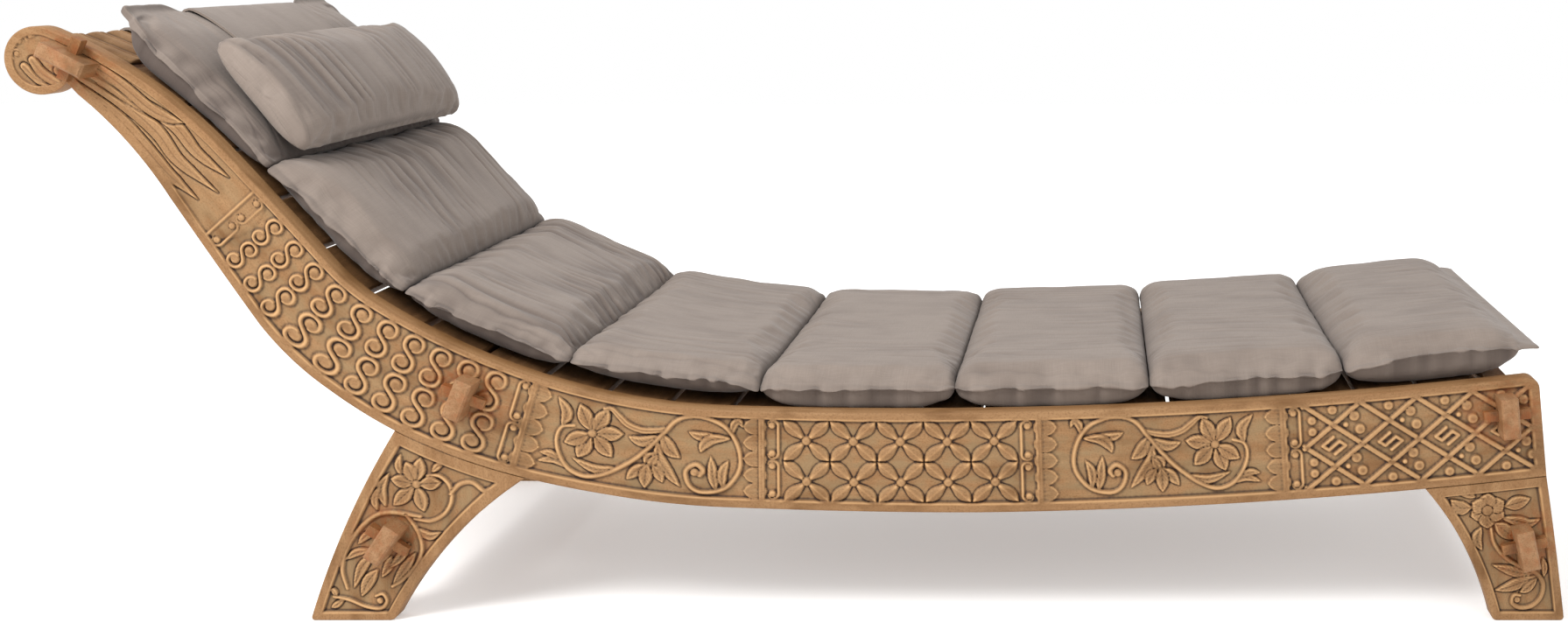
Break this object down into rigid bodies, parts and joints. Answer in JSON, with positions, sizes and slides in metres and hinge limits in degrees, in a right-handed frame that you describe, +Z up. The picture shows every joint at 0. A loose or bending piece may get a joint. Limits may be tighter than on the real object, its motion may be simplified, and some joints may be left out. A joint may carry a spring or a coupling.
{
  "type": "outdoor daybed",
  "caption": "Reclining outdoor daybed: S-curved carved hardwood sides on splayed legs, wedged through-tenon rails, slatted bed, channelled cushion and strap-on head pillow.",
  "frame": {"origin": "middle of the daybed's footprint, on the floor", "axes": "+X from the scrolled head to the foot, +Y to the left of a person lying on their back, +Z up"},
  "size_m": [2.098, 0.83, 0.8428],
  "materials": {
    "teak_carved": "oiled, lightly weathered",
    "teak_slat": "planed",
    "teak_wedge": "knife cut",
    "woven_cover": "slubby plain weave"
  },
  "bodies": {
    "frame": {"back_ledger_left": "teak_slat", "back_ledger_right": "teak_slat", "crest_rail": "teak_carved", "foot_leg_left": "teak_carved", "foot_leg_right": "teak_carved", "foot_leg_stretcher": "teak_carved", "foot_rail": "teak_carved", "head_leg_left": "teak_carved", "head_leg_right": "teak_carved", "head_leg_stretcher": "teak_carved", "lumbar_rail": "teak_carved", "seat_ledger_left": "teak_slat", "seat_ledger_right": "teak_slat", "side_board_left": "teak_carved", "side_board_right": "teak_carved", "slat_01": "teak_slat", "slat_02": "teak_slat", "slat_03": "teak_slat", "slat_04": "teak_slat", "slat_05": "teak_slat", "slat_06": "teak_slat", "slat_07": "teak_slat", "slat_08": "teak_slat", "slat_09": "teak_slat", "slat_10": "teak_slat", "slat_11": "teak_slat", "slat_12": "teak_slat", "slat_13": "teak_slat", "slat_14": "teak_slat", "slat_15": "teak_slat", "slat_16": "teak_slat", "slat_17": "teak_slat", "slat_18": "teak_slat", "slat_19": "teak_slat", "slat_20": "teak_slat", "slat_21": "teak_slat", "slat_22": "teak_slat", "slat_23": "teak_slat"},
    "cushion": {"cushion_pad_1": "woven_cover", "cushion_pad_2": "woven_cover", "cushion_pad_3": "woven_cover", "cushion_pad_4": "woven_cover", "cushion_pad_5": "woven_cover", "cushion_pad_6": "woven_cover", "cushion_pad_7": "woven_cover", "cushion_pad_8": "woven_cover"},
    "pillow": {"head_pillow": "woven_cover", "pillow_flap": "woven_cover"},
    "crest_wedge_right": {"crest_wedge_right": "teak_wedge"},
    "crest_wedge_left": {"crest_wedge_left": "teak_wedge"},
    "lumbar_wedge_right": {"lumbar_wedge_right": "teak_wedge"},
    "lumbar_wedge_left": {"lumbar_wedge_left": "teak_wedge"},
    "foot_wedge_right": {"foot_wedge_right": "teak_wedge"},
    "foot_wedge_left": {"foot_wedge_left": "teak_wedge"},
    "head_leg_wedge_right": {"head_leg_wedge_right": "teak_wedge"},
    "head_leg_wedge_left": {"head_leg_wedge_left": "teak_wedge"},
    "foot_leg_wedge_right": {"foot_leg_wedge_right": "teak_wedge"},
    "foot_leg_wedge_left": {"foot_leg_wedge_left": "teak_wedge"}
  },
  "joints": [
    {"name": "cushion_lift", "type": "slide", "parent": "frame", "child": "cushion", "axis": [0, 0, 1], "range_m": [0, 0.3]},
    {"name": "pillow_lift", "type": "slide", "parent": "cushion", "child": "pillow", "axis": [0, 0, 1], "range_m": [0, 0.2]},
    {"name": "crest_wedge_right_slide", "type": "slide", "parent": "frame", "child": "crest_wedge_right", "axis": [0.4664, 0, 0.8846], "range_m": [0, 0.05]},
    {"name": "crest_wedge_left_slide", "type": "slide", "parent": "frame", "child": "crest_wedge_left", "axis": [0.4664, 0, 0.8846], "range_m": [0, 0.05]},
    {"name": "lumbar_wedge_right_slide", "type": "slide", "parent": "frame", "child": "lumbar_wedge_right", "axis": [-0.9172, 0, 0.3984], "range_m": [0, 0.05]},
    {"name": "lumbar_wedge_left_slide", "type": "slide", "parent": "frame", "child": "lumbar_wedge_left", "axis": [-0.9172, 0, 0.3984], "range_m": [0, 0.05]},
    {"name": "foot_wedge_right_slide", "type": "slide", "parent": "frame", "child": "foot_wedge_right", "axis": [0.9937, 0, 0.1118], "range_m": [0, 0.05]},
    {"name": "foot_wedge_left_slide", "type": "slide", "parent": "frame", "child": "foot_wedge_left", "axis": [0.9937, 0, 0.1118], "range_m": [0, 0.05]},
    {"name": "head_leg_wedge_right_slide", "type": "slide", "parent": "frame", "child": "head_leg_wedge_right", "axis": [-0.8191, 0, 0.5736], "range_m": [0, 0.05]},
    {"name": "head_leg_wedge_left_slide", "type": "slide", "parent": "frame", "child": "head_leg_wedge_left", "axis": [-0.8191, 0, 0.5736], "range_m": [0, 0.05]},
    {"name": "foot_leg_wedge_right_slide", "type": "slide", "parent": "frame", "child": "foot_leg_wedge_right", "axis": [0.9744, 0, 0.225], "range_m": [0, 0.05]},
    {"name": "foot_leg_wedge_left_slide", "type": "slide", "parent": "frame", "child": "foot_leg_wedge_left", "axis": [0.9744, 0, 0.225], "range_m": [0, 0.05]}
  ]
}
